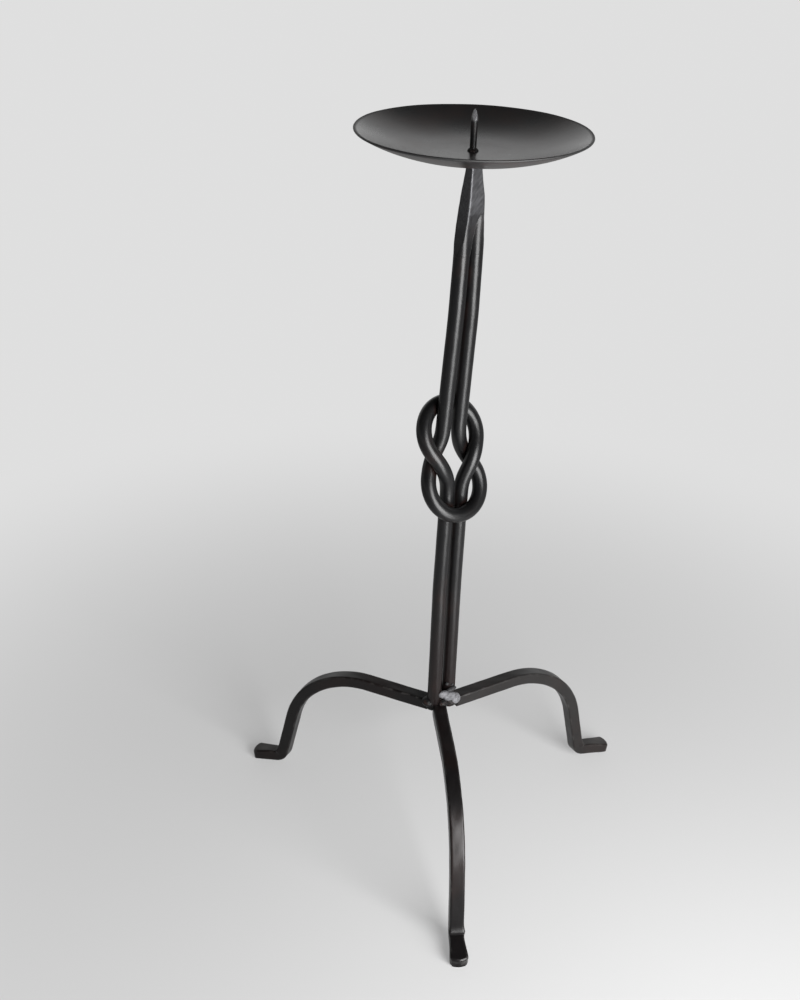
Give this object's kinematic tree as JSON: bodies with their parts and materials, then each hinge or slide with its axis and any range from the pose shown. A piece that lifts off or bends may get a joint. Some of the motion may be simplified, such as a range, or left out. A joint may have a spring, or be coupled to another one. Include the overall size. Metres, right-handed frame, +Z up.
{
  "type": "candle holder",
  "caption": "Free-standing pricket candle holder of blackened steel: a shallow drip dish with a spike, on a stem of round bars tied in a knot, on arched square-bar legs.",
  "frame": {"origin": "on the table, under the axis of the dish and the spike", "axes": "+Z up along the spike; the rods of the stem stand in a row along X and the knot faces -Y"},
  "size_m": [0.211, 0.2289, 0.4286],
  "materials": {
    "dish_steel": "blackened and waxed, satin",
    "spike_steel": "blackened, tip ground lighter",
    "bar_steel": "blackened and waxed, satin, brown tints",
    "leg_steel": "blackened and waxed, satin, worn edges",
    "dark_weld": "blackened weld",
    "bright_weld": "burnished weld"
  },
  "bodies": {
    "root": {"drip_dish": "dish_steel", "pricket_spike": "spike_steel", "spike_weld": "dark_weld", "dish_weld": "dark_weld", "upper_knot_bar": "bar_steel", "lower_knot_bar": "bar_steel", "front_leg": "leg_steel", "left_leg": "leg_steel", "right_leg": "leg_steel", "front_hub_weld": "bright_weld", "left_hub_weld": "dark_weld", "back_hub_weld": "dark_weld"}
  },
  "joints": []
}
